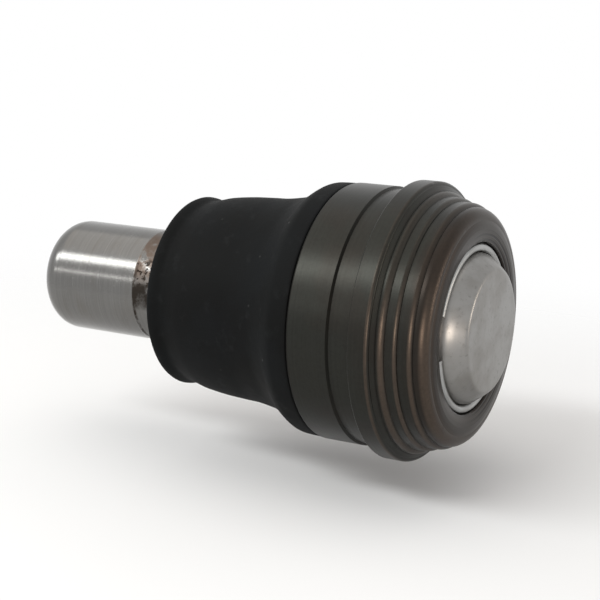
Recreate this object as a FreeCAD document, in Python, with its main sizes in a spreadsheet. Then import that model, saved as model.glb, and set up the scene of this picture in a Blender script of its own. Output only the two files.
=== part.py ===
# Suspension ball joint, pressed into a control arm by its barrel and clamped in a knuckle by its
# stud. X runs along the joint's axis towards the closing cap; the ball's centre is the origin.
# Stations on the stud's side of the ball are written as positive distances and negated in use.
import FreeCAD, Part
import math
import os
import Sketcher

os.makedirs("parts", exist_ok=True)
doc = FreeCAD.newDocument("suspension_ball_joint")
sheet = doc.addObject("Spreadsheet::Sheet", "Sizes")

SIZES = {
    # ball and stud
    "ball_radius": 14.8,
    "ball_flat_depth": 0.5,
    "neck_radius": 8.0,
    "neck_fillet": 4.2,
    "neck_swell": 0.9,
    "shank_radius": 10.5,
    "collar_height": 1.3,
    "collar_width": 1.5,
    "collar_gap": 0.45,
    "seat_step": 0.4,
    "seat_run_out": 0.85,
    "seat_land": 0.6,
    "relief_width": 6.2,
    "relief_depth": 0.36,
    "clamp_length": 17.8,
    "tip_round": 4.6,
    "tip_cut": 0.15,
    "centre_hole_radius": 1.7,
    "centre_hole_depth": 2.9,
    "stud_edge": 0.3,
    # running and sliding clearances
    "ball_clearance": 0.03,
    "shell_clearance": 0.05,
    "rubber_clearance": 0.15,
    "mouth_clearance": 0.05,
    # housing, outside
    "barrel_radius": 22.95,
    "barrel_start": 6.5,
    "barrel_lead": 0.45,
    "land_end": 1.0,
    "land_run_out": 0.35,
    "land_step": 0.45,
    "relief_fillet": 0.4,
    "flange_face": 5.7,
    "flange_thickness": 3.1,
    "flange_radius": 24.45,
    "flange_edge": 0.3,
    "flange_back_round": 0.65,
    "crease_gap": 1.2,
    "crease_drop": 1.6,
    # housing, inside
    "spigot_wall": 3.8,
    "spigot_length": 4.2,
    "spigot_lead": 0.4,
    "mouth_flare": 2.0,
    "throat_clearance": 0.32,
    "throat_land": 0.8,
    # bearing shells
    "shell_wall": 2.92,
    "shell_split": 0.4,
    "shell_edge_at": 6.6,
    "shell_lip": 1.0,
    "shell_overhang": 0.2,
    "shell_chamfer": 0.5,
    "shell_back_gap": 0.2,
    "crown_height": 1.8,
    "crown_gap": 0.45,
    "crown_chamfer": 0.3,
    "crown_bearing": 0.8,
    "grease_slots": 6,
    "grease_slot_width": 1.8,
    "grease_slot_depth": 0.7,
    "grease_slot_reach": 9.5,
    # cap, spring, ring and the lip rolled over them
    "cap_seat_below_pole": 0.2,
    "cap_ledge": 0.7,
    "cap_play": 0.08,
    "cap_thickness": 1.8,
    "cap_edge": 0.2,
    "cap_flange_width": 5.35,
    "boss_height": 3.9,
    "boss_draft": 0.15,
    "boss_round": 2.35,
    "boss_foot_round": 0.4,
    "boss_mouth_round": 0.8,
    "boss_hollow_round": 0.6,
    "spring_thickness": 0.9,
    "spring_band": 5.6,
    "spring_lean": 0.15,
    "ring_wire_radius": 0.7,
    "ring_boss_gap": 0.12,
    "ring_lip_gap": 0.17,
    "ring_gap_angle": 30.0,
    "ring_gap_at": 174.0,
    "lip_wall": 2.1,
    "lip_root_depth": 0.7,
    "lip_height": 1.75,
    "lip_roll": 3.55,
    "lip_edge_round": 0.35,
    # boot and its two inserts
    "boot_mouth_at": 38.35,
    "boot_lip_wall": 1.55,
    "boot_lip_edge": 0.2,
    "boot_bead_depth": 4.2,
    "boot_bead_wall": 3.4,
    "boot_foot_wall": 2.45,
    "boot_foot_gap": 0.1,
    "boot_wall": 1.85,
    "boot_belly_run": 10.85,
    "boot_belly_rise": 0.86,
    "boot_waist_run": 14.0,
    "boot_waist_drop": 3.97,
    "mouth_insert_wall": 2.5,
    "mouth_insert_depth": 2.5,
    "mouth_insert_gap": 0.1,
    "foot_insert_thickness": 0.8,
    "foot_insert_inset": 1.9,
    "foot_insert_gap": 0.2,
    "foot_insert_bend": 0.5,
}

# What follows from the sizes: each seat, pocket and land from the piece that it carries.
FOLLOWS = {
    "ball_flat_at": "ball_radius - ball_flat_depth",
    "ball_flat_radius": "sqrt(ball_radius^2 - ball_flat_at^2)",
    "fillet_reach": "ball_radius + neck_fillet",
    "neck_start": "sqrt(fillet_reach^2 - (neck_radius + neck_fillet)^2)",
    "neck_root_at": "neck_start * ball_radius / fillet_reach",
    "neck_root_radius": "(neck_radius + neck_fillet) * ball_radius / fillet_reach",
    "bead_inside_at": "boot_mouth_at - boot_bead_depth",
    "collar_tip_side": "bead_inside_at - collar_gap",
    "collar_ball_side": "collar_tip_side - collar_width",
    "seat_groove_radius": "shank_radius - seat_step",
    "collar_radius": "seat_groove_radius + collar_height",
    "seat_groove_end": "boot_mouth_at + seat_run_out",
    "relief_ball_side": "seat_groove_end + seat_land",
    "relief_tip_side": "relief_ball_side + relief_width",
    "tip_round_start": "relief_tip_side + clamp_length",
    "tip_end": "tip_round_start + tip_round - tip_cut",
    "tip_face_radius": "shank_radius - tip_round + sqrt(tip_round^2 - (tip_round - tip_cut)^2)",
    "seat_radius": "ball_radius + ball_clearance",
    "shell_outer_radius": "seat_radius + shell_wall",
    "bore_radius": "shell_outer_radius + shell_clearance",
    "half_split": "shell_split / 2",
    "split_radius": "sqrt(seat_radius^2 - half_split^2)",
    "shell_edge_radius": "sqrt(seat_radius^2 - shell_edge_at^2)",
    "shoulder_at": "shell_edge_at + shell_lip",
    "throat_at": "shoulder_at + throat_land",
    "throat_radius": "shell_edge_radius + throat_clearance",
    "mouth_radius": "throat_radius + mouth_flare",
    "spigot_radius": "mouth_radius + spigot_wall",
    "spigot_end": "barrel_start + spigot_length",
    "relief_radius": "barrel_radius - land_step",
    "flange_end": "flange_face + flange_thickness",
    "crease_at": "flange_end + crease_gap",
    "crease_radius": "flange_radius - crease_drop",
    "cap_seat_at": "ball_radius - cap_seat_below_pole",
    "cap_face_at": "cap_seat_at + cap_thickness",
    "cap_radius": "bore_radius + cap_ledge",
    "cap_pocket_radius": "cap_radius + cap_play",
    "boss_radius": "cap_radius - cap_flange_width",
    "boss_top_at": "cap_face_at + boss_height",
    "boss_inside_at": "boss_top_at - cap_thickness",
    "boss_hollow_radius": "boss_radius - cap_thickness",
    "shell_back_at": "cap_seat_at - shell_back_gap",
    "crown_at": "shell_back_at + crown_height",
    "crown_radius": "boss_hollow_radius - crown_gap",
    "spring_outer_radius": "boss_hollow_radius - boss_draft - boss_hollow_round",
    "spring_inner_radius": "spring_outer_radius - spring_band",
    "crown_hole_radius": "spring_inner_radius - crown_bearing",
    "crown_hole_at": "sqrt(seat_radius^2 - crown_hole_radius^2)",
    "ring_at": "cap_face_at + ring_wire_radius",
    "ring_radius": "boss_radius + ring_boss_gap + ring_wire_radius",
    "lip_inner_radius": "ring_radius + ring_wire_radius + ring_lip_gap",
    "lip_root_at": "cap_face_at - lip_root_depth",
    "lip_root_radius": "cap_pocket_radius + lip_wall",
    "lip_crest_at": "cap_face_at + lip_height",
    "lip_crest_radius": "lip_root_radius - lip_roll",
    "boot_lip_radius": "seat_groove_radius + mouth_clearance",
    "mouth_insert_inner": "boot_lip_radius + boot_lip_wall",
    "mouth_insert_outer": "mouth_insert_inner + mouth_insert_wall",
    "mouth_insert_floor": "bead_inside_at + mouth_insert_depth",
    "boot_bead_radius": "mouth_insert_outer + boot_bead_wall",
    "foot_insert_front": "spigot_end + foot_insert_thickness",
    "foot_insert_outer": "spigot_radius + foot_insert_thickness",
    "foot_insert_inner": "mouth_radius + foot_insert_inset",
    "boot_foot_radius": "foot_insert_outer + rubber_clearance + boot_foot_wall",
}

for row, (name, content) in enumerate({**SIZES, **FOLLOWS}.items(), start=1):
    sheet.set("A%d" % row, name)
    sheet.setAlias("B%d" % row, name)
    sheet.set("B%d" % row, "=" + content if name in FOLLOWS else str(content))
doc.recompute()


class Size:
    """A number together with the formula that gives it from the sheet."""

    def __init__(self, value, formula):
        self.value = value
        self.formula = formula

    def __add__(self, other):
        other = as_size(other)
        return Size(self.value + other.value, "(%s + %s)" % (self.formula, other.formula))

    def __sub__(self, other):
        other = as_size(other)
        return Size(self.value - other.value, "(%s - %s)" % (self.formula, other.formula))

    def __mul__(self, share):
        return Size(self.value * share, "(%s * %s)" % (self.formula, share))

    def __neg__(self):
        return Size(-self.value, "(0 - %s)" % self.formula)


def as_size(number):
    if isinstance(number, Size):
        return number
    return Size(float(number), repr(float(number)))


def named(name):
    return Size(float(sheet.get(name)), "Sizes." + name)


def along(start, end, share):
    """The number that lies this share of the way from start to end."""
    return start + (end - start) * share


def vector(point):
    return FreeCAD.Vector(as_size(point[0]).value, as_size(point[1]).value, 0)


def arc_between(start, end, radius, turn):
    """Centre, radius and middle of an arc; turn is +1 to bulge left of the way, -1 right."""
    chord = end - start
    half = chord.Length / 2
    depth = math.sqrt(max(radius ** 2 - half ** 2, 0.0))
    side = FreeCAD.Vector(-chord.y, chord.x, 0)
    side.normalize()
    centre = start + chord * 0.5 - side * (turn * depth)
    return centre, radius, centre + side * (turn * radius)


def arc_through(start, middle, end):
    """Centre, radius and middle of the arc from start to end through a middle point."""
    circle = Part.Circle(start, middle, end)
    return circle.Center, circle.Radius, middle


def sketch_on(body, name, role):
    """An empty sketch on one of the body's own planes."""
    sketch = body.newObject("Sketcher::SketchObject", name)
    plane = [f for f in body.Origin.OriginFeatures if f.Role == role][0]
    sketch.AttachmentSupport = [(plane, "")]
    sketch.MapMode = "FlatFace"
    return sketch


def tie_corner(sketch, element, end, point):
    """Holds an element's end at a point, each distance by its formula from the sheet."""
    for kind, axis, part in (("DistanceX", -2, point[0]), ("DistanceY", -1, point[1])):
        number = as_size(part)
        if abs(number.value) < 1e-9:
            sketch.addConstraint(Sketcher.Constraint("PointOnObject", element, end, axis))
            continue
        where = sketch.addConstraint(Sketcher.Constraint(kind, element, end, number.value))
        if "Sizes." in number.formula:
            sketch.setExpression("Constraints[%d]" % where, number.formula)


def add_profile(body, name, steps):
    """Closed profile in the body's XY plane, every corner tied to the sheet.

    A step is (x, r), or (x, r, radius, turn) where an arc of that radius leads to the corner,
    or (x, r, (mx, mr)) where the arc passes through a middle point.
    """
    sketch = sketch_on(body, name, "XY_Plane")
    corners = [vector(step) for step in steps]
    ends = []
    for index, step in enumerate(steps):
        start = corners[index - 1]
        end = corners[index]
        if len(step) == 2:
            sketch.addGeometry(Part.LineSegment(start, end), False)
            ends.append((1, 2))
            continue
        if len(step) == 4:
            centre, radius, middle = arc_between(start, end, step[2].value, step[3])
        else:
            centre, radius, middle = arc_through(start, vector(step[2]), end)
        circle = Part.Circle(centre, FreeCAD.Vector(0, 0, 1), radius)
        first = math.atan2(start.y - centre.y, start.x - centre.x)
        last = math.atan2(end.y - centre.y, end.x - centre.x)
        if (start - centre).cross(middle - centre).z > 0:
            sketch.addGeometry(Part.ArcOfCircle(circle, first, last), False)
            ends.append((1, 2))
        else:
            sketch.addGeometry(Part.ArcOfCircle(circle, last, first), False)
            ends.append((2, 1))
    count = len(steps)
    for index in range(count):
        after = (index + 1) % count
        sketch.addConstraint(
            Sketcher.Constraint("Coincident", index, ends[index][1], after, ends[after][0])
        )
    for index, step in enumerate(steps):
        tie_corner(sketch, index, ends[index][1], step)
        if len(step) > 2:
            radius = sketch.Geometry[index].Radius
            where = sketch.addConstraint(Sketcher.Constraint("Radius", index, radius))
            if len(step) == 4:
                sketch.setExpression("Constraints[%d]" % where, step[2].formula)
    doc.recompute()
    if sketch.solve() != 0:
        raise RuntimeError("profile %s is not solved" % name)
    return sketch


def turned(name, steps):
    """A body turned about the joint's axis from one closed profile."""
    body = doc.addObject("PartDesign::Body", name)
    body.Label = name
    sketch = add_profile(body, name + "_profile", steps)
    turning = body.newObject("PartDesign::Revolution", name + "_turned")
    turning.Profile = sketch
    turning.ReferenceAxis = (sketch, ["H_Axis"])
    turning.Angle = 360
    sketch.Visibility = False
    doc.recompute()
    body.Tip = turning
    return body


def grease_slots(body, name, open_face, depth, towards_cap):
    """Grease slots cut along the axis into a shell's spherical seat, spaced round the axis."""
    before = body.Shape.Volume
    sketch = sketch_on(body, name + "_sketch", "YZ_Plane")
    sketch.AttachmentOffset = FreeCAD.Placement(
        FreeCAD.Vector(0, 0, open_face.value), FreeCAD.Rotation()
    )
    sketch.setExpression("AttachmentOffset.Base.z", open_face.formula)
    half = named("grease_slot_width") * 0.5
    outer = named("ball_radius") + named("grease_slot_depth")
    corners = [(0, -half), (outer, -half), (outer, half), (0, half)]
    for index, corner in enumerate(corners):
        after = corners[(index + 1) % len(corners)]
        sketch.addGeometry(Part.LineSegment(vector(corner), vector(after)), False)
    for index, corner in enumerate(corners):
        after = (index + 1) % len(corners)
        sketch.addConstraint(Sketcher.Constraint("Coincident", index, 2, after, 1))
        tie_corner(sketch, index, 1, corner)
    doc.recompute()
    pocket = body.newObject("PartDesign::Pocket", name)
    pocket.Profile = sketch
    pocket.Type = "Length"
    pocket.Length = depth.value
    pocket.setExpression("Length", depth.formula)
    pocket.Reversed = towards_cap
    body.Tip = pocket
    doc.recompute()
    one = before - body.Shape.Volume
    if one <= 0:
        raise RuntimeError("slot %s removed nothing" % name)
    count = int(SIZES["grease_slots"])
    pattern = body.newObject("PartDesign::PolarPattern", name + "_pattern")
    pattern.Originals = [pocket]
    axis = [f for f in body.Origin.OriginFeatures if f.Role == "X_Axis"][0]
    pattern.Axis = (axis, [""])
    pattern.Angle = 360
    pattern.Occurrences = count
    pattern.setExpression("Occurrences", "Sizes.grease_slots")
    body.Tip = pattern
    doc.recompute()
    if before - body.Shape.Volume < (count - 0.5) * one:
        raise RuntimeError("slots %s are not all there" % name)


def make_ball_stud():
    """Forged in one piece: ball, undercut neck, boot collar and seat, shank with a shallow
    pinch relief, and a rounded tip with its turning centre."""
    ball = named("ball_radius")
    neck = named("neck_radius")
    collar = named("collar_radius")
    shank = named("shank_radius")
    groove = named("seat_groove_radius")
    edge = named("stud_edge")
    collar_side = named("collar_ball_side")
    swell_at = along(named("neck_start"), collar_side, 0.56)
    swell = neck + named("neck_swell")
    relief_middle = along(named("relief_tip_side"), named("relief_ball_side"), 0.5)
    steps = [
        (-(named("tip_end") - named("centre_hole_depth")), 0),
        (-named("tip_end"), named("centre_hole_radius")),
        (-named("tip_end"), named("tip_face_radius")),
        (-named("tip_round_start"), shank, named("tip_round"), 1),
        (-named("relief_tip_side"), shank),
        (-named("relief_ball_side"), shank, (-relief_middle, shank - named("relief_depth"))),
        (-named("seat_groove_end"), shank),
        (-named("seat_groove_end") + edge, groove),
        (-named("collar_tip_side"), groove),
        (-named("collar_tip_side"), collar - edge),
        (-named("collar_tip_side") + edge, collar),
        (-collar_side, collar),
        (-swell_at, swell, (-along(swell_at, collar_side, 0.53), along(swell, collar, 0.26))),
        (-along(named("neck_start"), collar_side, 0.36), neck),
        (-named("neck_start"), neck),
        (-named("neck_root_at"), named("neck_root_radius"), named("neck_fillet"), -1),
        (named("ball_flat_at"), named("ball_flat_radius"), ball, 1),
        (named("ball_flat_at"), 0),
    ]
    return turned("ball_stud", steps)


def turned_steps():
    """From the flange's back down to the root of the rolled lip: a bead beside the crease,
    then two treads that end in a rounded nose."""
    start = (named("crease_at"), named("crease_radius"))
    end = (named("lip_root_at"), named("lip_root_radius"))
    shares = [(0, 0), (0.23, 0.37), (0.57, 0.68), (1, 1)]
    corners = [(along(start[0], end[0], x), along(start[1], end[1], r)) for x, r in shares]
    bead = (
        along(corners[0][0], corners[1][0], 0.54),
        along(corners[0][1], corners[1][1], 0.13),
    )
    steps = [corners[0], (*corners[1], bead)]
    for before, after in zip(corners[1:], corners[2:]):
        tread = (along(before[0], after[0], 0.58), along(before[1], after[1], 0.08))
        nose = (along(before[0], after[0], 0.88), along(before[1], after[1], 0.38))
        steps.extend([tread, (*after, nose)])
    return steps


def rolled_lip():
    """Lip bent in over the cap: round shoulder, low crest, and the edge beside the ring."""
    root = named("lip_root_radius")
    crest_at = named("lip_crest_at")
    crest = named("lip_crest_radius")
    inner = named("lip_inner_radius")
    height = named("lip_height")
    roll = named("lip_roll")
    shoulder = (crest_at - height * 0.15, crest + roll * 0.42)
    edge = (crest_at - height * 0.16, inner + named("lip_edge_round") * 0.7)
    return [
        (*shoulder, (crest_at - height * 0.44, root - roll * 0.18)),
        (crest_at, crest, (crest_at - height * 0.04, crest + roll * 0.22)),
        (*edge, (crest_at - height * 0.05, along(crest, edge[1], 0.53))),
        (edge[0] - named("lip_edge_round"), inner, named("lip_edge_round"), 1),
        (named("cap_face_at"), inner),
    ]


def make_housing():
    """Forged barrel in its finished state: spigot, press land, relief, flange, turned steps
    and the lip rolled over the cap; inside it the mouth, throat, shoulder and bore."""
    barrel = named("barrel_radius")
    lead = named("barrel_lead")
    relief = named("relief_radius")
    fillet = named("relief_fillet")
    start = named("barrel_start")
    face = named("flange_face")
    flange = named("flange_radius")
    edge = named("flange_edge")
    back = named("flange_back_round")
    steps = [
        (-named("spigot_end"), named("mouth_radius")),
        (-named("spigot_end"), named("spigot_radius") - named("spigot_lead")),
        (-named("spigot_end") + named("spigot_lead"), named("spigot_radius")),
        (-start, named("spigot_radius")),
        (-start, barrel - lead),
        (-start + lead, barrel, lead, 1),
        (named("land_end"), barrel),
        (named("land_end") + named("land_run_out"), relief),
        (face - fillet, relief),
        (face, relief + fillet, fillet, -1),
        (face, flange - edge),
        (face + edge, flange, edge, 1),
        (named("flange_end"), flange),
        (named("flange_end") + back, flange - back, back, 1),
        *turned_steps(),
        *rolled_lip(),
        (named("cap_face_at"), named("cap_pocket_radius")),
        (named("cap_seat_at"), named("cap_pocket_radius")),
        (named("cap_seat_at"), named("bore_radius")),
        (-named("shoulder_at"), named("bore_radius")),
        (-named("shoulder_at"), named("throat_radius")),
        (-named("throat_at"), named("throat_radius")),
    ]
    return turned("housing", steps)


def make_seat_stud_side():
    """Bearing shell half between the shoulder and the ball's equator."""
    outer = named("shell_outer_radius")
    chamfer = named("shell_chamfer")
    split = -named("half_split")
    front = -named("shoulder_at")
    steps = [
        (front, named("throat_radius") - named("shell_overhang")),
        (front, outer - chamfer),
        (front + chamfer, outer),
        (split, outer),
        (split, named("split_radius")),
        (-named("shell_edge_at"), named("shell_edge_radius"), named("seat_radius"), -1),
    ]
    body = turned("seat_stud_side", steps)
    grease_slots(body, "stud_side_slot", split, named("shell_edge_at"), False)
    return body


def make_seat_cap_side():
    """Bearing shell half from the equator to the crown that carries the disc spring."""
    outer = named("shell_outer_radius")
    chamfer = named("shell_chamfer")
    split = named("half_split")
    back = named("shell_back_at")
    crown = named("crown_radius")
    break_edge = named("crown_chamfer")
    steps = [
        (split, outer),
        (back - chamfer, outer),
        (back, outer - chamfer),
        (back, crown),
        (named("crown_at") - break_edge, crown),
        (named("crown_at"), crown - break_edge),
        (named("crown_at"), named("crown_hole_radius")),
        (named("crown_hole_at"), named("crown_hole_radius")),
        (split, named("split_radius"), named("seat_radius"), -1),
    ]
    body = turned("seat_cap_side", steps)
    grease_slots(body, "cap_side_slot", split, named("grease_slot_reach"), True)
    return body


def make_preload_spring():
    """Conical disc spring: its inner edge bears on the crown, its outer edge on the cap."""
    crown = named("crown_at")
    cap = named("boss_inside_at")
    thick = named("spring_thickness")
    inner = named("spring_inner_radius")
    outer = named("spring_outer_radius")
    lean = named("spring_lean")
    steps = [
        (crown, inner),
        (cap - thick, outer - lean),
        (cap, outer),
        (crown + thick, inner + lean),
    ]
    return turned("preload_spring", steps)


def make_closing_cap():
    """Stamped cap of one sheet thickness: flat flange under the lip and a raised boss."""
    seat = named("cap_seat_at")
    face = named("cap_face_at")
    top = named("boss_top_at")
    inside = named("boss_inside_at")
    rim = named("cap_radius")
    edge = named("cap_edge")
    boss = named("boss_radius")
    hollow = named("boss_hollow_radius")
    draft = named("boss_draft")
    foot = named("boss_foot_round")
    curve = named("boss_round")
    mouth = named("boss_mouth_round")
    corner = named("boss_hollow_round")
    steps = [
        (seat, rim - edge),
        (seat + edge, rim),
        (face - edge, rim),
        (face, rim - edge),
        (face, boss + foot),
        (face + foot, boss, foot, -1),
        (top - curve, boss - draft),
        (top, boss - draft - curve, curve, 1),
        (top, 0),
        (inside, 0),
        (inside, hollow - draft - corner),
        (inside - corner, hollow - draft, corner, -1),
        (seat + mouth, hollow),
        (seat, hollow + mouth, mouth, 1),
    ]
    return turned("closing_cap", steps)


def make_retaining_ring():
    """Round-wire ring with an open gap, lying on the cap's flange inside the lip."""
    body = doc.addObject("PartDesign::Body", "retaining_ring")
    body.Label = "retaining_ring"
    sketch = sketch_on(body, "ring_wire", "XY_Plane")
    wire = named("ring_wire_radius")
    place = (named("ring_at"), named("ring_radius"))
    circle = Part.Circle(vector(place), FreeCAD.Vector(0, 0, 1), wire.value)
    sketch.addGeometry(circle, False)
    tie_corner(sketch, 0, 3, place)
    where = sketch.addConstraint(Sketcher.Constraint("Radius", 0, wire.value))
    sketch.setExpression("Constraints[%d]" % where, wire.formula)
    doc.recompute()
    turning = body.newObject("PartDesign::Revolution", "ring_bend")
    turning.Profile = sketch
    turning.ReferenceAxis = (sketch, ["H_Axis"])
    turning.Angle = 360 - SIZES["ring_gap_angle"]
    turning.setExpression("Angle", "360 - Sizes.ring_gap_angle")
    doc.recompute()
    body.Tip = turning
    start = SIZES["ring_gap_at"] + SIZES["ring_gap_angle"] / 2
    body.Placement = FreeCAD.Placement(
        FreeCAD.Vector(0, 0, 0), FreeCAD.Rotation(FreeCAD.Vector(1, 0, 0), start)
    )
    body.setExpression("Placement.Rotation.Angle", "Sizes.ring_gap_at + Sizes.ring_gap_angle / 2")
    return body


def at_mouth(run, rise):
    """A point of the boot by its distance from the mouth's face and from the bead's radius."""
    return -named("boot_mouth_at") + run, named("boot_bead_radius") + rise


def at_foot(run, drop):
    """A point of the boot by its distance from the barrel's end and from the foot's radius."""
    return -named("barrel_start") - run, named("boot_foot_radius") - drop


def make_boot():
    """Rubber boot: thick bead at the mouth, thin wall, and a foot round its steel insert."""
    gap = named("rubber_clearance")
    wall = named("boot_wall")
    lip = named("boot_lip_radius")
    edge = named("boot_lip_edge")
    mouth = -named("boot_mouth_at")
    inside = -named("bead_inside_at")
    insert_inner = named("mouth_insert_inner") - gap
    insert_outer = named("mouth_insert_outer") + gap
    insert_floor = inside - named("mouth_insert_depth") - gap
    foot_outer = named("foot_insert_outer") + gap
    foot_front = -named("foot_insert_front") - gap
    belly = at_mouth(named("boot_belly_run"), named("boot_belly_rise"))
    waist = at_foot(named("boot_waist_run"), named("boot_waist_drop"))
    steps = [
        (mouth, lip + edge),
        at_mouth(0, -1.15),
        (*at_mouth(0.75, 0), at_mouth(0.17, -0.42)),
        (*at_mouth(2.6, -0.55), at_mouth(1.7, -0.19)),
        (*at_mouth(4.1, -0.35), at_mouth(3.35, -0.53)),
        (*belly, at_mouth(7.25, 0.44)),
        waist,
        (*at_foot(4.6, 0.7), at_foot(8.7, 3.05)),
        (*at_foot(3.7, 0.18), at_foot(4.2, 0.36)),
        at_foot(named("boot_foot_gap"), 0),
        (-named("barrel_start") - named("boot_foot_gap"), foot_outer),
        (foot_front, foot_outer),
        (foot_front, named("foot_insert_inner") - gap),
        at_foot(8.7, wall + 3.2),
        (waist[0], waist[1] - wall, at_foot(11.5, wall + 3.75)),
        (belly[0], belly[1] - wall),
        (*at_mouth(5.15, -2.4), at_mouth(7.35, -1.45)),
        (inside, insert_outer),
        (insert_floor, insert_outer),
        (insert_floor, insert_inner),
        (inside, insert_inner),
        (inside, lip + edge),
        (inside - edge, lip),
        (mouth + edge, lip),
    ]
    return turned("boot", steps)


def make_boot_foot_insert():
    """Steel ring of L section in the boot's foot, pressed on the housing's spigot."""
    spigot = named("spigot_radius")
    outer = named("foot_insert_outer")
    inner = named("foot_insert_inner")
    bend = named("foot_insert_bend")
    front = -named("foot_insert_front")
    back = -named("barrel_start") - named("foot_insert_gap")
    steps = [
        (-named("spigot_end"), inner),
        (front, inner),
        (front, outer - bend),
        (front + bend, outer, bend, 1),
        (back, outer),
        (back, spigot),
        (-named("spigot_end"), spigot),
    ]
    return turned("boot_foot_insert", steps)


def make_boot_mouth_insert():
    """Hard ring in the boot's mouth bead that keeps the mouth round on the stud."""
    floor = -named("mouth_insert_floor")
    back = -named("bead_inside_at") - named("mouth_insert_gap")
    inner = named("mouth_insert_inner")
    outer = named("mouth_insert_outer")
    return turned("boot_mouth_insert", [(floor, inner), (floor, outer), (back, outer), (back, inner)])


pieces = [
    make_housing(),
    make_seat_stud_side(),
    make_ball_stud(),
    make_seat_cap_side(),
    make_preload_spring(),
    make_closing_cap(),
    make_retaining_ring(),
    make_boot_foot_insert(),
    make_boot(),
    make_boot_mouth_insert(),
]
doc.recompute()

for item in doc.Objects:
    if "Invalid" in item.State or "Error" in item.State:
        raise RuntimeError("%s did not recompute" % item.Name)

for piece in pieces:
    shape = piece.Shape
    if shape.isNull() or not shape.isValid():
        raise RuntimeError("%s has no valid shape" % piece.Label)
    if len(shape.Solids) != 1:
        raise RuntimeError("%s has %d solids" % (piece.Label, len(shape.Solids)))
    print(piece.Label, "volume", round(shape.Volume, 2), "box", shape.BoundBox)
    shape.exportStep("parts/%s.step" % piece.Label)
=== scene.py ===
import math

import bpy
import numpy as np
from mathutils import Matrix, Vector


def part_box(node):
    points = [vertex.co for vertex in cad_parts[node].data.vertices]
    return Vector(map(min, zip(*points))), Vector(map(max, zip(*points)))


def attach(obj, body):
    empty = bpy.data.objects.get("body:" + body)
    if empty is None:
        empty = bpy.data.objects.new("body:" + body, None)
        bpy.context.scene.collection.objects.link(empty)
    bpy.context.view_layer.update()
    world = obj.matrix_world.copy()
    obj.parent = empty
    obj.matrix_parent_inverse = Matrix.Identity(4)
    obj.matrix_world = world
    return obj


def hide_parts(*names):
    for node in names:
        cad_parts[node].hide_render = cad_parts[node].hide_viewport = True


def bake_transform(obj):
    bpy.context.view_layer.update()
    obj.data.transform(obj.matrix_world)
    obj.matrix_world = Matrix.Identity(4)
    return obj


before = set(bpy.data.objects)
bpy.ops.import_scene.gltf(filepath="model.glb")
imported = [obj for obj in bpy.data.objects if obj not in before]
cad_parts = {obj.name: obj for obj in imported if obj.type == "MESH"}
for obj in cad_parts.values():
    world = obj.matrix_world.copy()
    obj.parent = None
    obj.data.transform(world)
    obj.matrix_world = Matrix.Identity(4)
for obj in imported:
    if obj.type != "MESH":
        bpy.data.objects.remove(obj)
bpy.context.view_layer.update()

# Housing: one forging of dark, oiled steel, finish-turned outside with press land, relief,
# flange and three rounded steps, and a lip that is rolled over the cap. The cap's side has
# browned most. Places in the finish are in millimetres from the ball's centre.

OIL_BLACK = (0.0300, 0.0305, 0.0270, 1)
BROWNED = (0.0285, 0.0230, 0.0195, 1)
WORN_AND_HIGHLIT = (0.098, 0.074, 0.058, 1)
OIL_FILM = (0.017, 0.016, 0.0145, 1)
CREASE_SHADE = (0.008, 0.007, 0.006, 1)
TOOL_MARK = (0.007, 0.006, 0.0055, 1)

# Turned noses worn bright (with a painted highlight), and creases with painted shade: place,
# half width, strength.
NOSES = (
    (9.0, 0.35, 1.0),
    (10.85, 0.6, 1.0),
    (12.95, 0.4, 1.0),
    (15.25, 0.45, 1.0),
    (17.3, 0.9, 1.0),
)
CREASES = ((-6.35, 0.35, 1.0), (1.15, 0.3, 0.3), (5.66, 0.12, 0.4), (9.95, 0.12, 0.2))


class Wire:
    """One socket of a node; arithmetic on it adds Math nodes to the same tree."""

    def __init__(self, nodes, socket):
        self.nodes = nodes
        self.socket = socket

    def of(self, output):
        """Another output of the same node."""
        return Wire(self.nodes, self.socket.node.outputs[output])

    def math(self, operation, *others):
        return self.nodes.node("ShaderNodeMath", {"operation": operation}, [self, *others])

    def __add__(self, other):
        return self.math("ADD", other)

    def __radd__(self, other):
        return self.math("ADD", other)

    def __sub__(self, other):
        return self.math("SUBTRACT", other)

    def __rsub__(self, other):
        return self.nodes.node("ShaderNodeMath", {"operation": "SUBTRACT"}, [other, self])

    def __mul__(self, other):
        return self.math("MULTIPLY", other)

    def __rmul__(self, other):
        return self.math("MULTIPLY", other)

    def __truediv__(self, other):
        return self.math("DIVIDE", other)

    def __abs__(self):
        return self.math("ABSOLUTE")

    def rise(self, low, high):
        """0 below low, 1 above high, smooth between; high may be the smaller one."""
        settings = {"interpolation_type": "SMOOTHSTEP"}
        if low < high:
            return self.nodes.node("ShaderNodeMapRange", settings, [self, low, high, 0.0, 1.0])
        return self.nodes.node("ShaderNodeMapRange", settings, [self, high, low, 1.0, 0.0])


class Nodes:
    """A node tree with its shader, and the one way in which nodes are added to it."""

    def __init__(self, tree, shader):
        self.tree = tree
        self.shader = tree.nodes[shader]

    def node(self, kind, settings=None, inputs=(), output=0):
        made = self.tree.nodes.new(kind)
        for name, value in (settings or {}).items():
            setattr(made, name, value)
        pairs = inputs.items() if isinstance(inputs, dict) else enumerate(inputs)
        for key, value in pairs:
            if isinstance(value, Wire):
                self.tree.links.new(value.socket, made.inputs[key])
            else:
                made.inputs[key].default_value = value
        return Wire(self, made.outputs[output])

    def feed(self, socket, wire):
        self.tree.links.new(wire.socket, self.shader.inputs[socket])


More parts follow.
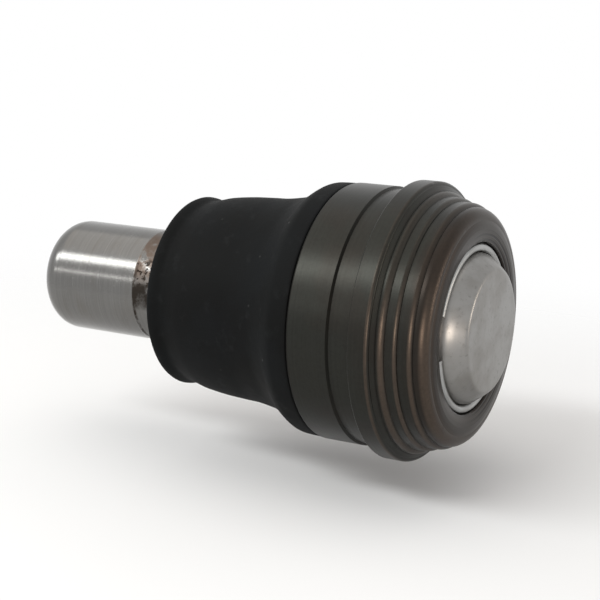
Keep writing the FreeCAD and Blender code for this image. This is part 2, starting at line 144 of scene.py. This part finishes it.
class Finish(Nodes):
    """A surface finish: one Principled shader, and the nodes that vary it over the surface."""

    def __init__(self, name, **sockets):
        self.material = bpy.data.materials.new(name)
        self.material.use_nodes = True
        super().__init__(self.material.node_tree, "Principled BSDF")
        for socket, value in sockets.items():
            self.shader.inputs[socket.replace("_", " ")].default_value = value

    def place_mm(self, attribute=None):
        """The place on the piece in millimetres: its own coordinates, or a stored attribute."""
        if attribute:
            metres = self.node(
                "ShaderNodeAttribute", {"attribute_name": attribute}, output="Vector"
            )
        else:
            metres = self.node("ShaderNodeTexCoord", output="Object")
        sockets = {0: metres, "Scale": 1000.0}
        return self.node("ShaderNodeVectorMath", {"operation": "SCALE"}, sockets)

    def turned(self, place):
        """Distance along the joint's axis, distance from it, and the angle up from -Y."""
        split = self.node("ShaderNodeSeparateXYZ", {}, [place])
        y = split.of("Y")
        z = split.of("Z")
        return split.of("X"), (y * y + z * z).math("SQRT"), z.math("ARCTAN2", y * -1.0)

    def around(self, place, along, across):
        """A place for streaks that run round the axis without a seam."""
        split = self.node("ShaderNodeSeparateXYZ", {}, [place])
        y = split.of("Y")
        z = split.of("Z")
        radius = (y * y + z * z).math("SQRT") + 0.001
        return self.vector(split.of("X") * along, y / radius * across, z / radius * across)

    def vector(self, x, y, z):
        return self.node("ShaderNodeCombineXYZ", {}, [x, y, z])

    def noise(self, place, scale, detail=2.0, roughness=0.5):
        sockets = {"Vector": place, "Scale": scale, "Detail": detail, "Roughness": roughness}
        return self.node("ShaderNodeTexNoise", {}, sockets)

    def bands(self, along, rows, soft):
        """The strongest of some narrow bands: rows of place, half width and strength."""
        strongest = None
        for middle, width, strength in rows:
            band = abs(along - middle).rise(width, width * soft) * strength
            strongest = band if strongest is None else strongest.math("MAXIMUM", band)
        return strongest

    def mix(self, share, first, second):
        sockets = {0: share, 6: first, 7: second}
        return self.node("ShaderNodeMix", {"data_type": "RGBA"}, sockets, 2)

    def bump(self, height, depth, strength=1.0):
        sockets = {"Height": height, "Distance": depth, "Strength": strength}
        self.feed("Normal", self.node("ShaderNodeBump", {}, sockets))


def dress(node, finish):
    """Gives a carried-over node its finish."""
    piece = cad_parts[node]
    if not piece.material_slots:
        piece.data.materials.append(finish.material)
    for slot in piece.material_slots:
        slot.material = finish.material


oiled_steel = Finish("oiled_steel", Metallic=1.0)
place = oiled_steel.place_mm()
x, radius, angle = oiled_steel.turned(place)
rings = oiled_steel.noise(oiled_steel.vector(x, radius, 0.0), 2.6, 4.0, 0.6)
streaks = oiled_steel.noise(oiled_steel.around(place, 1.6, 2.2), 1.0, 4.0, 0.6)
blotch = oiled_steel.noise(place, 0.11, 3.0)
grain = oiled_steel.noise(place, 1.7, 3.0, 0.65)

brown = x.rise(13.2, 17.0) * 0.8 + blotch.rise(0.42, 0.7) * 0.4
steel = oiled_steel.mix(brown, OIL_BLACK, BROWNED)
# Partly real wear, partly painted highlight: the worn noses are drawn brighter on their lower
# side, where the warm light falls.
worn_and_highlit = oiled_steel.bands(x, NOSES, 0.3) * radius.rise(15.0, 16.0)
worn_and_highlit = worn_and_highlit * (0.3 + angle.rise(0.75, 0.1) * 0.7)
steel = oiled_steel.mix(worn_and_highlit * (0.35 + streaks * 0.5), steel, WORN_AND_HIGHLIT)
film = (rings * 0.5 + grain * 0.5).rise(0.35, 0.75)
steel = oiled_steel.mix(film * 0.4, steel, OIL_FILM)
# Painted shade: the creases are darkened where shadow falls in them.
shaded_crease = oiled_steel.bands(x, CREASES, 0.25) * radius.rise(19.8, 20.2)
steel = oiled_steel.mix(shaded_crease * 0.8, steel, CREASE_SHADE)

# The roller has scored the lip in arcs near its inner edge, all round but for the near side.
rolled = x.rise(17.2, 17.7) * radius.rise(17.2, 16.6) * abs(angle).rise(1.2, 1.9)
score = (radius * 7.0 + streaks * 2.0).math("SINE").rise(-0.3, 0.8) * rolled
steel = oiled_steel.mix(score * 0.85, steel, TOOL_MARK)

oiled_steel.feed("Base Color", steel)
oiled_steel.feed("Roughness", 0.285 + rings * 0.05 + blotch * 0.08 + shaded_crease * 0.2)
oiled_steel.bump(rings * 0.7 + grain * 0.3 - score * 2.0, 0.00003, 0.5)
dress("housing", oiled_steel)

# Bearing shells: two injection-moulded halves of natural acetal round the ball, with axial
# grease slots. They are shut in behind the cap and show only when the joint is cut open.

ACETAL = (0.78, 0.76, 0.69, 1)
ACETAL_SHADED = (0.70, 0.68, 0.60, 1)

bearing_plastic = Finish("bearing_plastic", Roughness=0.42, IOR=1.48)
place = bearing_plastic.place_mm()
cloud = bearing_plastic.noise(place, 0.5, 3.0)
bearing_plastic.feed("Base Color", bearing_plastic.mix(cloud, ACETAL, ACETAL_SHADED))
bearing_plastic.bump(bearing_plastic.noise(place, 6.0, 2.0), 0.00001, 0.3)
dress("seat_stud_side", bearing_plastic)
dress("seat_cap_side", bearing_plastic)

# Ball stud: forged in one piece, ball and shank, then turned bright. The shallow relief beside
# the boot takes the pinch bolt; grease has been smeared round it and has gone dark.

TURNED_LIGHT = (0.178, 0.175, 0.169, 1)
TURNED_DARK = (0.138, 0.135, 0.130, 1)
HAZE = (0.135, 0.126, 0.114, 1)
STAIN = (0.105, 0.070, 0.050, 1)
OLD_GREASE = (0.022, 0.017, 0.013, 1)
RELIEF_END = -45.95
RELIEF_RIM = -45.9

turned_steel = Finish("turned_steel", Metallic=1.0)
place = turned_steel.place_mm()
x, radius, angle = turned_steel.turned(place)
rings = turned_steel.noise(turned_steel.vector(x, radius, 0.0), 5.5, 5.0, 0.7)
haze = turned_steel.noise(turned_steel.around(place, 0.5, 1.3), 1.0, 3.0)
scuff = turned_steel.noise(place, 0.9, 4.0, 0.6)
patch = turned_steel.noise(turned_steel.around(place, 0.55, 5.0), 0.9, 5.0, 0.62)
flecks = turned_steel.noise(turned_steel.around(place, 1.1, 12.0), 1.0, 4.0, 0.6)

steel = turned_steel.mix(rings.rise(0.3, 0.7), TURNED_LIGHT, TURNED_DARK)
steel = turned_steel.mix(haze.rise(0.5, 0.75) * 0.4, steel, HAZE)
relief = x.rise(RELIEF_END - 0.4, RELIEF_END)
stain = relief * abs(angle - 0.85).rise(0.75, 0.35) * patch.rise(0.32, 0.52)
steel = turned_steel.mix(stain * 0.75, steel, STAIN)

# The grease: a smear across the relief, flecks above it, and what is left in the relief's rim.
smear = relief * abs(angle - 0.02).rise(0.30, 0.17) * (0.72 + patch * 0.5).rise(0.86, 1.0)
flecked = relief * abs(angle - 0.42).rise(0.34, 0.2) * flecks.rise(0.52, 0.60)
rim = abs(x - RELIEF_RIM).rise(0.42, 0.12) * abs(angle + 0.25).rise(1.0, 0.5)
in_rim = rim * (patch * 1.3).rise(0.5, 0.7)
grease = smear.math("MAXIMUM", flecked).math("MAXIMUM", in_rim)
steel = turned_steel.mix(grease * 0.92, steel, OLD_GREASE)

turned_steel.feed("Base Color", steel)
dulled = scuff.rise(0.5, 0.8) * 0.10 + stain * 0.30 + grease * 0.08
turned_steel.feed("Roughness", 0.16 + rings * 0.08 + dulled)
turned_steel.bump(rings * 0.35 + grease * (1.2 + scuff * 2.5), 0.00004, 0.6)
dress("ball_stud", turned_steel)

# Preload spring: a conical disc of hardened strip. It presses the cap-side shell on the ball
# from under the cap's boss and can't be seen from outside.

HARDENED = (0.16, 0.155, 0.15, 1)
TARNISHED = (0.10, 0.095, 0.09, 1)

spring_steel = Finish("spring_steel", Metallic=1.0, Roughness=0.35)
tarnish = spring_steel.noise(spring_steel.place_mm(), 0.6, 3.0)
spring_steel.feed("Base Color", spring_steel.mix(tarnish, HARDENED, TARNISHED))
dress("preload_spring", spring_steel)

# Closing cap: stamped from one sheet of plated steel. Its flat flange lies under the rolled
# lip, and the boss, a low cone with a flat top, stands through the lip's opening. Handling has
# scuffed it.

CAP_SEAT = 0.0146
CAP_FACE = 0.0164
CAP_RADIUS = 0.0185
CAP_EDGE = 0.0002
HOLLOW_TOP = 0.0185
HOLLOW_RADIUS = 0.0112
BOSS_TOP = 0.0210
BOSS_CROWN = 0.02108
BOSS_FOOT_RADIUS = 0.01315
PLATED = (0.252, 0.248, 0.240, 1)
PLATED_DULL = (0.205, 0.199, 0.188, 1)
SCUFFED = (0.13, 0.125, 0.118, 1)


def smooth_curve(points, spacing):
    """Points every spacing or so along a Catmull-Rom curve through the given ones."""
    padded = [points[0], *points, points[-1]]
    curve = []
    for before, start, end, after in zip(padded, padded[1:], padded[2:], padded[3:]):
        count = max(2, int((Vector(end) - Vector(start)).length / spacing))
        for step in range(count):
            t = step / count
            curve.append(tuple(
                0.5 * (2 * b + (c - a) * t + (2 * a - 5 * b + 4 * c - d) * t * t
                       + (3 * b - a - 3 * c + d) * t ** 3)
                for a, b, c, d in zip(before, start, end, after)
            ))
    curve.append(points[-1])
    return curve


def lathe(name, profile, around=192):
    """A mesh turned about the joint's axis, closed where the profile meets the axis.

    The profile runs towards the cap along the outside, so that every face points outwards.
    """
    vertices = []
    rings = []
    for along, radius in profile:
        if radius == 0:
            rings.append([len(vertices)] * around)
            vertices.append((along, 0, 0))
            continue
        rings.append(list(range(len(vertices), len(vertices) + around)))
        for turn in range(around):
            angle = 2 * math.pi * turn / around
            vertices.append((along, radius * math.cos(angle), radius * math.sin(angle)))
    faces = []
    for low, high in zip(rings, rings[1:]):
        for turn in range(around):
            there = (turn + 1) % around
            corners = [low[turn], low[there], high[there], high[turn]]
            faces.append(list(dict.fromkeys(corners)))
    mesh = bpy.data.meshes.new(name)
    mesh.from_pydata(vertices, [], faces)
    mesh.update()
    mesh.shade_smooth()
    piece = bpy.data.objects.new(name, mesh)
    bpy.context.scene.collection.objects.link(piece)
    return piece


cap_under = [
    (HOLLOW_TOP, 0.0),
    (HOLLOW_TOP, HOLLOW_RADIUS - 0.00060),
    (HOLLOW_TOP - 0.00010, HOLLOW_RADIUS - 0.00028),
    (HOLLOW_TOP - 0.00030, HOLLOW_RADIUS - 0.00008),
    (HOLLOW_TOP - 0.00060, HOLLOW_RADIUS),
    (CAP_SEAT + 0.00080, HOLLOW_RADIUS + 0.00015),
    (CAP_SEAT + 0.00040, HOLLOW_RADIUS + 0.00026),
    (CAP_SEAT + 0.00011, HOLLOW_RADIUS + 0.00055),
    (CAP_SEAT, HOLLOW_RADIUS + 0.00095),
    (CAP_SEAT, CAP_RADIUS - CAP_EDGE),
    (CAP_SEAT + CAP_EDGE, CAP_RADIUS),
    (CAP_FACE - CAP_EDGE, CAP_RADIUS),
    (CAP_FACE, CAP_RADIUS - CAP_EDGE),
]
cap_outside = smooth_curve(
    [
        (CAP_FACE, BOSS_FOOT_RADIUS + 0.00120),
        (CAP_FACE + 0.00002, BOSS_FOOT_RADIUS + 0.00075),
        (CAP_FACE + 0.00022, BOSS_FOOT_RADIUS + 0.00025),
        (CAP_FACE + 0.00080, BOSS_FOOT_RADIUS),
        (BOSS_TOP - 0.00300, BOSS_FOOT_RADIUS - 0.00025),
        (BOSS_TOP - 0.00220, BOSS_FOOT_RADIUS - 0.00071),
        (BOSS_TOP - 0.00140, BOSS_FOOT_RADIUS - 0.00132),
        (BOSS_TOP - 0.00070, BOSS_FOOT_RADIUS - 0.00191),
        (BOSS_TOP - 0.00027, BOSS_FOOT_RADIUS - 0.00229),
        (BOSS_TOP - 0.00007, BOSS_FOOT_RADIUS - 0.00259),
        (BOSS_TOP, BOSS_FOOT_RADIUS - 0.00295),
        (BOSS_TOP + 0.00002, 0.0094),
        (BOSS_TOP + 0.00006, 0.0060),
        (BOSS_CROWN, 0.0020),
    ],
    spacing=0.00025,
)
closing_cap = lathe("closing_cap_stamping", cap_under + cap_outside + [(BOSS_CROWN, 0.0)])

satin_sheet = Finish("satin_sheet", Metallic=1.0)
place = satin_sheet.place_mm()
cloud = satin_sheet.noise(place, 0.22, 3.0)
scuff = satin_sheet.noise(place, 1.1, 5.0, 0.7)
sheet_colour = satin_sheet.mix(cloud.rise(0.35, 0.7), PLATED, PLATED_DULL)
sheet_colour = satin_sheet.mix(scuff.rise(0.52, 0.75) * 0.6, sheet_colour, SCUFFED)
satin_sheet.feed("Base Color", sheet_colour)
satin_sheet.feed("Roughness", 0.25 + cloud * 0.14 + scuff * 0.06)
satin_sheet.bump(scuff * 0.5 + cloud, 0.00005, 0.35)
closing_cap.data.materials.append(satin_sheet.material)
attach(closing_cap, "housing_group")
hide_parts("closing_cap")

# Retaining ring: bright drawn wire bent to an open ring, lying on the cap's flange inside the
# lip.

WIRE_BRIGHT = (0.36, 0.368, 0.365, 1)
WIRE_DULL = (0.27, 0.272, 0.268, 1)

ring_wire = Finish("ring_wire", Metallic=1.0)
drawn = ring_wire.noise(ring_wire.around(ring_wire.place_mm(), 4.0, 2.0), 1.6, 3.0)
ring_wire.feed("Base Color", ring_wire.mix(drawn.rise(0.3, 0.7), WIRE_BRIGHT, WIRE_DULL))
ring_wire.feed("Roughness", 0.34 + drawn * 0.14)
dress("retaining_ring", ring_wire)

# Inserts of the boot: two plain steel rings inside the rubber. One presses the foot on the
# housing's spigot, the other keeps the mouth round on the stud.

PLAIN_STEEL = (0.30, 0.295, 0.285, 1)
PLAIN_DULL = (0.20, 0.195, 0.19, 1)

insert_steel = Finish("insert_steel", Metallic=1.0, Roughness=0.38)
cloud = insert_steel.noise(insert_steel.place_mm(), 0.7, 3.0)
insert_steel.feed("Base Color", insert_steel.mix(cloud, PLAIN_STEEL, PLAIN_DULL))
dress("boot_foot_insert", insert_steel)
dress("boot_mouth_insert", insert_steel)

# Boot: moulded black rubber, thin-walled between a thick mouth bead and a foot round the steel
# insert, dusty from handling. It is drawn in two lengths, a foot half and a mouth half.

boot_low, boot_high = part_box("boot")
MOUTH = boot_low.x
FOOT = boot_high.x
FOOT_RADIUS = boot_high.z
FOOT_POCKET_RADIUS = 0.02035
BEAD = 0.0176
BELLY = BEAD + 0.00086
WAIST = -0.0235
WAIST_RADIUS = 0.01869
JOIN = FOOT - 0.01390
JOIN_RADIUS = FOOT_RADIUS - 0.00397
WALL = 0.00185
POCKET_OUTSIDE = 0.01435
POCKET_INSIDE = 0.01155
POCKET_FLOOR = MOUTH + 0.00155
BEAD_END = MOUTH + 0.0042
LIP = 0.01015
LIP_EDGE = 0.0002
BENDS_FROM = -0.0122
RIGID_FROM = -0.0315
RUBBER = (0.0039, 0.0042, 0.0042, 1)
RUBBER_PALE = (0.0055, 0.0062, 0.0067, 1)
SMUDGED = (0.012, 0.013, 0.0135, 1)
DUST = (0.13, 0.13, 0.127, 1)

outside = smooth_curve(
    [
        (MOUTH + 0.00002, BEAD - 0.00135),
        (MOUTH + 0.00017, BEAD - 0.00042),
        (MOUTH + 0.00075, BEAD),
        (MOUTH + 0.00170, BEAD - 0.00019),
        (MOUTH + 0.00260, BEAD - 0.00055),
        (MOUTH + 0.00335, BEAD - 0.00053),
        (MOUTH + 0.00410, BEAD - 0.00035),
        (MOUTH + 0.00560, BEAD + 0.00006),
        (MOUTH + 0.00725, BEAD + 0.00044),
        (MOUTH + 0.01085, BELLY),
        (WAIST, WAIST_RADIUS),
        (JOIN, JOIN_RADIUS),
        (FOOT - 0.01080, FOOT_RADIUS - 0.00352),
        (FOOT - 0.00860, FOOT_RADIUS - 0.00302),
        (FOOT - 0.00640, FOOT_RADIUS - 0.00190),
        (FOOT - 0.00500, FOOT_RADIUS - 0.00090),
        (FOOT - 0.00370, FOOT_RADIUS - 0.00020),
        (FOOT - 0.00240, FOOT_RADIUS - 0.00004),
        (FOOT - 0.00060, FOOT_RADIUS),
        (FOOT - 0.00012, FOOT_RADIUS - 0.00012),
        (FOOT, FOOT_RADIUS - 0.00060),
    ],
    spacing=0.0004,
)
inside = smooth_curve(
    [
        (FOOT - 0.00500, FOOT_POCKET_RADIUS),
        (FOOT - 0.00515, 0.01735),
        (FOOT - 0.00860, FOOT_RADIUS - 0.00505),
        (FOOT - 0.01140, FOOT_RADIUS - 0.00560),
        (JOIN, JOIN_RADIUS - WALL),
        (WAIST, WAIST_RADIUS - WALL),
        (MOUTH + 0.01035, BELLY - WALL),
        (MOUTH + 0.00735, BEAD - 0.00145),
        (MOUTH + 0.00515, BEAD - 0.00240),
        (BEAD_END, POCKET_OUTSIDE),
    ],
    spacing=0.0006,
)


def part_of(curve, low, high):
    """The stretch of a curve between two places on the joint's axis."""
    slack = 1e-7
    return [point for point in curve if low - slack <= point[0] <= high + slack]


foot_profile = (
    part_of(outside, JOIN, FOOT)
    + [(FOOT, FOOT_POCKET_RADIUS), (FOOT - 0.0049, FOOT_POCKET_RADIUS)]
    + part_of(inside, JOIN, FOOT)
)
mouth_profile = (
    part_of(inside, MOUTH, JOIN)
    + [
        (POCKET_FLOOR, POCKET_OUTSIDE),
        (POCKET_FLOOR, POCKET_INSIDE),
        (BEAD_END, POCKET_INSIDE),
        (BEAD_END, LIP + LIP_EDGE),
        (BEAD_END - LIP_EDGE, LIP),
        (MOUTH + LIP_EDGE, LIP),
        (MOUTH, LIP + LIP_EDGE),
    ]
    + part_of(outside, MOUTH, JOIN)
)

boot_rubber = Finish("boot_rubber", Specular_IOR_Level=0.075)
place = boot_rubber.place_mm("rest_place")
cloud = boot_rubber.noise(place, 0.10, 3.0)
smudge = boot_rubber.noise(place, 0.35, 4.0, 0.6)
grain = boot_rubber.noise(place, 3.5, 4.0, 0.65)
smudged = smudge.rise(0.56, 0.80)
rubber = boot_rubber.mix(cloud.rise(0.35, 0.7), RUBBER, RUBBER_PALE)
rubber = boot_rubber.mix(smudged * 0.5, rubber, SMUDGED)
specks = boot_rubber.node(
    "ShaderNodeTexVoronoi",
    {"voronoi_dimensions": "3D"},
    {"Vector": place, "Scale": 0.27},
    "Distance",
)
pick = boot_rubber.node("ShaderNodeSeparateColor", {}, [specks.of("Color")])
dust = (specks + grain * 0.05).rise(0.105, 0.02) * pick.rise(0.45, 0.9)
rubber = boot_rubber.mix(dust * 0.6, rubber, DUST)
boot_rubber.feed("Base Color", rubber)
boot_rubber.feed("Roughness", 0.58 + cloud * 0.16 - smudged * 0.08)
boot_rubber.bump(grain * 0.5 + smudge, 0.00012, 0.5)

for name, profile, first, second, start, end in (
    ("boot_foot_half", foot_profile, "housing_group", "boot_group", BENDS_FROM, JOIN),
    ("boot_mouth_half", mouth_profile, "boot_group", "mouth_group", JOIN, RIGID_FROM),
):
    half = lathe(name, profile)
    half.data.materials.append(boot_rubber.material)
    rest_place = half.data.attributes.new("rest_place", "FLOAT_VECTOR", "POINT")
    places = np.zeros(len(half.data.vertices) * 3, np.float32)
    half.data.vertices.foreach_get("co", places)
    rest_place.data.foreach_set("vector", places)
    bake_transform(half)
    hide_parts("boot")

# Floor, light and camera: a plain pale floor just under the lowest place of the swinging stud,
# white all round. A broad box light above on the stud's side, a narrow one under it, two low
# warm ones and a large weak one overhead.

FLOOR_LEVEL = -0.02997
FLOOR_REACH = 4.0
WHITE = (1, 1, 1, 1)
WORLD_LIGHT = 0.62
COOL = (0.985, 1.0, 0.995)
FAINT_COOL = (1.0, 1.0, 0.985)
WARM = (1.0, 0.86, 0.74)
FAINT_WARM = (1.0, 0.94, 0.87)
LIT_PLACE = Vector((-0.01, 0, 0))

# The floor fades out into the white round a place under the joint, in millimetres.
FADE_CENTRE = -20.0
FADE_STRETCH = 0.45
FADES_FROM = 45.0
FADED_OUT_AT = 170.0

floor_mesh = bpy.data.meshes.new("floor")
floor_corners = [
    (side * FLOOR_REACH, end * FLOOR_REACH, FLOOR_LEVEL)
    for side, end in ((-1, -1), (1, -1), (1, 1), (-1, 1))
]
floor_mesh.from_pydata(floor_corners, [], [(0, 1, 2, 3)])
floor = bpy.data.objects.new("floor", floor_mesh)
bpy.context.scene.collection.objects.link(floor)
pale_floor = Finish(
    "pale_floor", Base_Color=(0.9, 0.9, 0.9, 1), Roughness=0.9, Specular_IOR_Level=0.0
)
split = pale_floor.node("ShaderNodeSeparateXYZ", {}, [pale_floor.place_mm()])
along = split.of("X") - FADE_CENTRE
across = split.of("Y")
away = (along * along * FADE_STRETCH + across * across).math("SQRT")
pale_floor.feed("Alpha", away.rise(FADED_OUT_AT, FADES_FROM))
floor_mesh.materials.append(pale_floor.material)

world = bpy.data.worlds.new("white_studio")
bpy.context.scene.world = world
world.use_nodes = True
surround = Nodes(world.node_tree, "Background")
path = surround.node("ShaderNodeLightPath", output="Is Camera Ray")
seen = path.math("MAXIMUM", path.of("Is Glossy Ray"))
seen = seen.math("MAXIMUM", path.of("Is Transmission Ray"))
sockets = {"Value": seen, "To Min": WORLD_LIGHT, "To Max": 1.0}
surround.feed("Strength", surround.node("ShaderNodeMapRange", {}, sockets))
surround.shader.inputs["Color"].default_value = WHITE


def box_light(name, towards, away, length, height, radiance, colour):
    """A rectangular lamp facing the joint, its length along the joint, of a given radiance."""
    lamp = bpy.data.lights.new(name, "AREA")
    lamp.shape = "RECTANGLE"
    lamp.size = length
    lamp.size_y = height
    lamp.energy = radiance * math.pi * length * height
    lamp.color = colour
    held = bpy.data.objects.new(name, lamp)
    out = Vector(towards).normalized()
    side = (Vector((1, 0, 0)) - out * out.x).normalized()
    facing = Matrix((side, out.cross(side), out)).transposed()
    held.matrix_world = Matrix.LocRotScale(LIT_PLACE + out * away, facing, None)
    bpy.context.scene.collection.objects.link(held)


box_light("key_box", (-0.47, -0.588, 0.658), 0.55, 0.6, 0.10, 8.6, COOL)
box_light("strip_box", (-0.52, -0.81, 0.26), 0.55, 0.45, 0.02, 6.0, FAINT_COOL)
box_light("low_box", (0.63, -0.77, 0.06), 0.5, 0.20, 0.05, 18.0, WARM)
box_light("end_box", (0.92, 0.38, 0.07), 0.5, 0.20, 0.06, 10.0, WARM)
box_light("ceiling_box", (-0.25, 0.02, 0.97), 0.6, 0.7, 0.54, 0.65, FAINT_WARM)

# The camera stands at the cap's end, a little above the joint.
CAMERA_STANDS = Vector((0.111127, -0.229368, 0.066375))
CAMERA_BACK = Vector((0.47140, -0.84792, 0.24251))
CAMERA_RIGHT = Vector((0.87345, 0.48690, 0.00458))
FILM_WIDTH = 36
FOCAL_LENGTH = 89.48

camera_data = bpy.data.cameras.new("camera")
camera = bpy.data.objects.new("camera", camera_data)
bpy.context.scene.collection.objects.link(camera)
camera_data.sensor_width = FILM_WIDTH
camera_data.lens = FOCAL_LENGTH
camera_data.clip_start = 0.01
back = CAMERA_BACK.normalized()
right = (CAMERA_RIGHT - back * CAMERA_RIGHT.dot(back)).normalized()
up = back.cross(right)
camera.matrix_world = Matrix.LocRotScale(
    CAMERA_STANDS, Matrix((right, up, back)).transposed(), None
)
bpy.context.scene.camera = camera
bpy.context.scene.view_settings.view_transform = "Standard"
